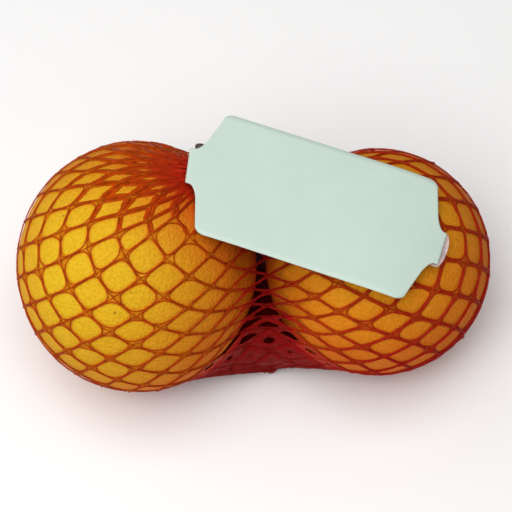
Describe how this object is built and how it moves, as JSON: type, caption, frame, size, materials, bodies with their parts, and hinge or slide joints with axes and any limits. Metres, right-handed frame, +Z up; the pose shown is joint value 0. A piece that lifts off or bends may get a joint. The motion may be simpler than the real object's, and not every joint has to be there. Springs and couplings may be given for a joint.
{
  "type": "net of pomelos",
  "caption": "Pomelos drawn tight in a red knotted net sack that lies on its side, with a plain pale label strip fastened across the top.",
  "frame": {"origin": "centre of the pack's footprint, on the surface that it lies on", "axes": "+X through both fruit towards the smaller one, +Y towards the back, +Z up to the label's shown face"},
  "size_m": [0.1986, 0.1049, 0.1048],
  "materials": {
    "rind": "waxy yellow-orange citrus rind with fine oil pores",
    "net": "glossy, slightly clear red plastic strands",
    "label_paper": "smooth pale green-white coated paper, unprinted",
    "tail": "dark brown bundled strand ends",
    "clear_film": "clear, slightly pink film"
  },
  "bodies": {
    "root": {"filled_net": "rind", "label": "label_paper", "hem_tail": "tail", "clear_tie": "clear_film", "base_weld": "net"}
  },
  "joints": []
}
